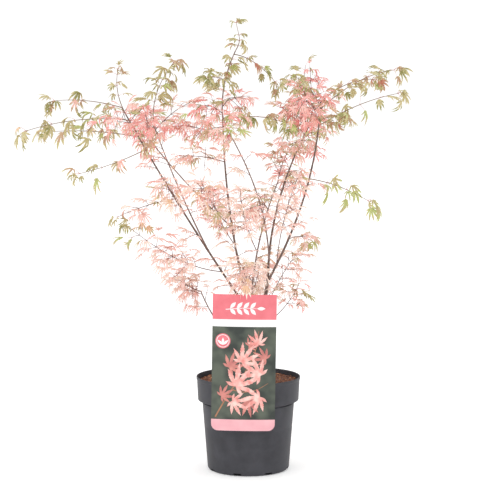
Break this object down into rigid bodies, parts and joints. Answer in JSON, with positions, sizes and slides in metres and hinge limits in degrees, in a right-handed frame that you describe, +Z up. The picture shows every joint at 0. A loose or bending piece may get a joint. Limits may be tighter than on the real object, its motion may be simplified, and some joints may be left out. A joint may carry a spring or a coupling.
{
  "type": "potted japanese maple",
  "caption": "Young multi-stemmed Japanese maple with pink and olive palmate leaves, standing in a round grey nursery pot with a hanging plant label",
  "frame": {"origin": "centre of the pot's flat underside, on the ground it stands on", "axes": "+Z up along the plant; +X to the right of someone facing the label; +Y away from them, towards the back of the plant"},
  "size_m": [0.7435, 0.5079, 0.8353],
  "materials": {
    "pot": "satin slate grey",
    "compost": "loose bark compost",
    "label": "semi-gloss printed card",
    "bark": "fine grey-brown bark",
    "young_bark": "smooth young bark",
    "leaves_pink": "soft leaf",
    "leaves_peach": "soft leaf",
    "leaves_olive": "soft leaf"
  },
  "bodies": {
    "root": {"pot": "pot", "compost": "compost", "label": "label", "trunk": "bark", "right_leader": "bark", "upright_stem": "bark", "right_stem": "bark", "inner_stem": "young_bark", "left_leader": "bark", "left_centre": "bark", "left_stem": "bark", "left_second": "young_bark", "top_leader": "young_bark", "left_inner": "young_bark", "centre_stem": "young_bark", "low_left": "young_bark", "far_left_upper": "leaves_olive", "far_left_lower": "leaves_olive", "left_high": "leaves_olive", "left_top": "leaves_olive", "left_pink": "leaves_pink", "left_arm_high": "leaves_olive", "left_arm_mid": "leaves_peach", "left_arm_low": "leaves_peach", "left_mid": "leaves_peach", "left_knot": "leaves_pink", "low_left_spray": "leaves_peach", "second_left": "leaves_pink", "second_right": "leaves_peach", "left_spire": "leaves_olive", "inner_front": "leaves_peach", "mid_shoot": "leaves_peach", "upper_shoot": "leaves_pink", "crown_front": "leaves_pink", "crown_back": "leaves_pink", "leader_cluster": "leaves_olive", "leader_top": "leaves_olive", "leader_side": "leaves_olive", "inner_tip": "leaves_pink", "long_right": "leaves_olive", "left_mid_back": "leaves_peach", "centre_front": "leaves_peach", "centre_back": "leaves_peach", "centre_tip": "leaves_pink", "low_front": "leaves_peach", "low_back": "leaves_peach", "right_inner": "leaves_peach", "upright_back": "leaves_pink", "upright_mid": "leaves_pink", "upright_tip": "leaves_pink", "right_front": "leaves_pink", "right_crown": "leaves_pink", "right_green": "leaves_olive", "right_top_one": "leaves_olive", "right_top_two": "leaves_olive", "right_top_three": "leaves_olive", "right_arm": "leaves_olive", "right_low": "leaves_peach", "back_right": "leaves_peach", "low_right_spray": "leaves_pink"}
  },
  "joints": []
}
